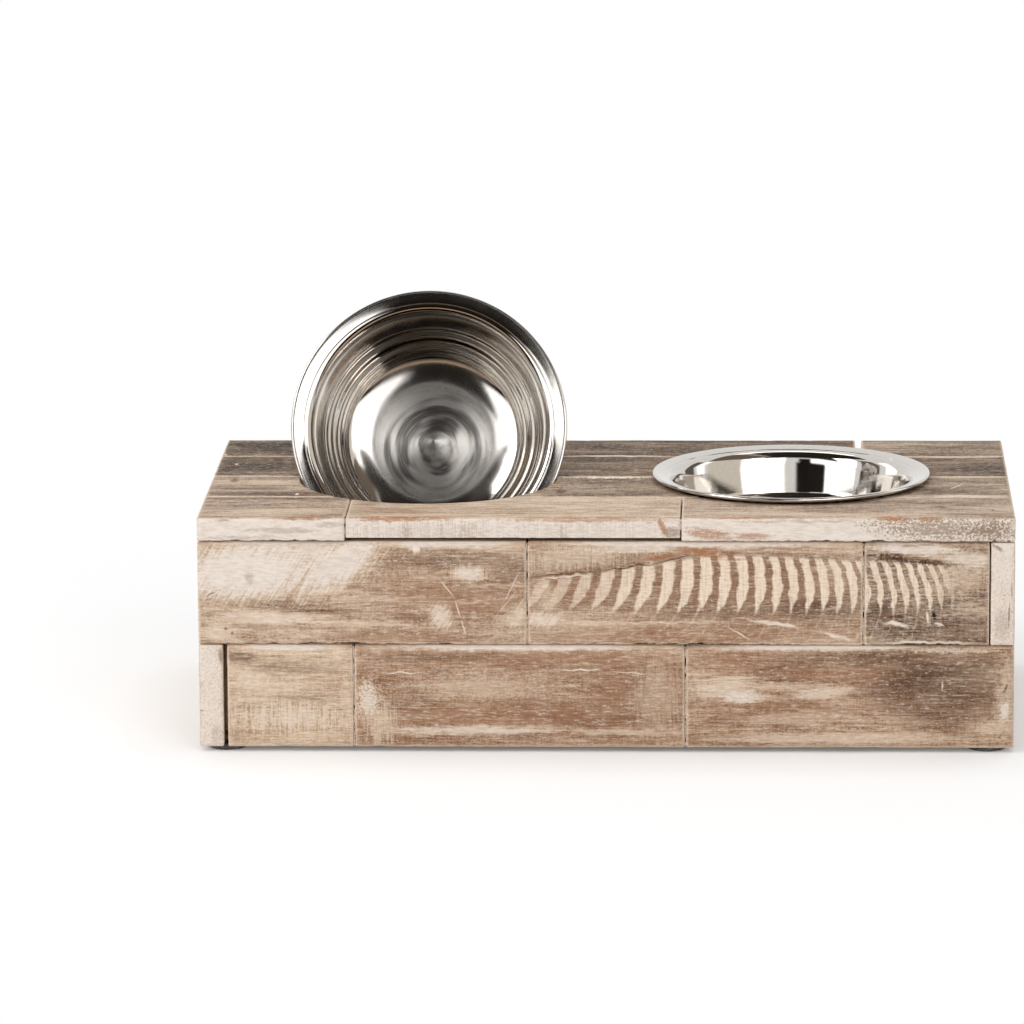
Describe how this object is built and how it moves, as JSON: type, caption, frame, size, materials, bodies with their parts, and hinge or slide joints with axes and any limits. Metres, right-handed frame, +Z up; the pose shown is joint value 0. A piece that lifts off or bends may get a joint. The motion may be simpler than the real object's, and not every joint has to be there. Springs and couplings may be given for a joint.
{
  "type": "elevated dog feeder",
  "caption": "Low plank-clad storage box with a rear-hinged lid, cut with round holes in which stainless steel bowls hang by their rims, raising a small dog's food and water.",
  "frame": {"origin": "centre of the box's footprint, on the surface that the feet stand on", "axes": "+X to the right along the width, +Y from the front to the hinged back, +Z up"},
  "size_m": [0.382, 0.1938, 0.1984],
  "materials": {
    "wall_planks": "rough-sawn reclaimed boards, brown stain under a worn whitewash",
    "lid_slats": "sanded weathered grey-brown boards with worn whitewash on their edges",
    "liner_plywood": "plain plywood",
    "bowl_steel": "polished stainless steel, brushed in circles on the base",
    "hinge_steel": "zinc-plated steel",
    "foot_rubber": "dark grey moulded rubber pad"
  },
  "bodies": {
    "box": {"back_left_foot": "foot_rubber", "back_lower_left_plank": "wall_planks", "back_lower_right_plank": "wall_planks", "back_right_foot": "foot_rubber", "back_upper_left_plank": "wall_planks", "back_upper_right_plank": "wall_planks", "floor_panel": "liner_plywood", "front_left_foot": "foot_rubber", "front_lower_left_plank": "wall_planks", "front_lower_middle_plank": "wall_planks", "front_lower_right_plank": "wall_planks", "front_right_foot": "foot_rubber", "front_upper_left_plank": "wall_planks", "front_upper_middle_plank": "wall_planks", "front_upper_right_plank": "wall_planks", "hinge_screws_in_back": "hinge_steel", "left_hinge_fixed_leaf": "hinge_steel", "left_hinge_pin": "hinge_steel", "left_lower_plank": "wall_planks", "left_upper_plank": "wall_planks", "liner_back_panel": "liner_plywood", "liner_front_panel": "liner_plywood", "liner_left_panel": "liner_plywood", "liner_right_panel": "liner_plywood", "right_hinge_fixed_leaf": "hinge_steel", "right_hinge_pin": "hinge_steel", "right_lower_plank": "wall_planks", "right_upper_plank": "wall_planks"},
    "lid": {"hinge_screws_in_lid": "hinge_steel", "left_hinge_lid_leaf": "hinge_steel", "lid_back_left_slat": "lid_slats", "lid_back_right_slat": "lid_slats", "lid_base_board": "liner_plywood", "lid_front_left_slat": "lid_slats", "lid_front_middle_slat": "lid_slats", "lid_front_right_slat": "lid_slats", "lid_second_left_slat": "lid_slats", "lid_second_middle_slat": "lid_slats", "lid_second_right_slat": "lid_slats", "lid_third_left_slat": "lid_slats", "lid_third_middle_slat": "lid_slats", "lid_third_right_slat": "lid_slats", "right_hinge_lid_leaf": "hinge_steel"},
    "left_bowl": {"left_bowl": "bowl_steel"},
    "right_bowl": {"right_bowl": "bowl_steel"}
  },
  "joints": [
    {"name": "lid_hinge", "type": "hinge", "parent": "box", "child": "lid", "pos_m": [0, 0.097, 0.10095], "axis": [-1, 0, 0], "range_deg": [0, 100]},
    {"name": "left_bowl_lift", "type": "slide", "parent": "lid", "child": "left_bowl", "axis": [0, 0, 1], "range_m": [0, 0.06]},
    {"name": "right_bowl_lift", "type": "slide", "parent": "lid", "child": "right_bowl", "axis": [0, 0, 1], "range_m": [0, 0.06]}
  ]
}
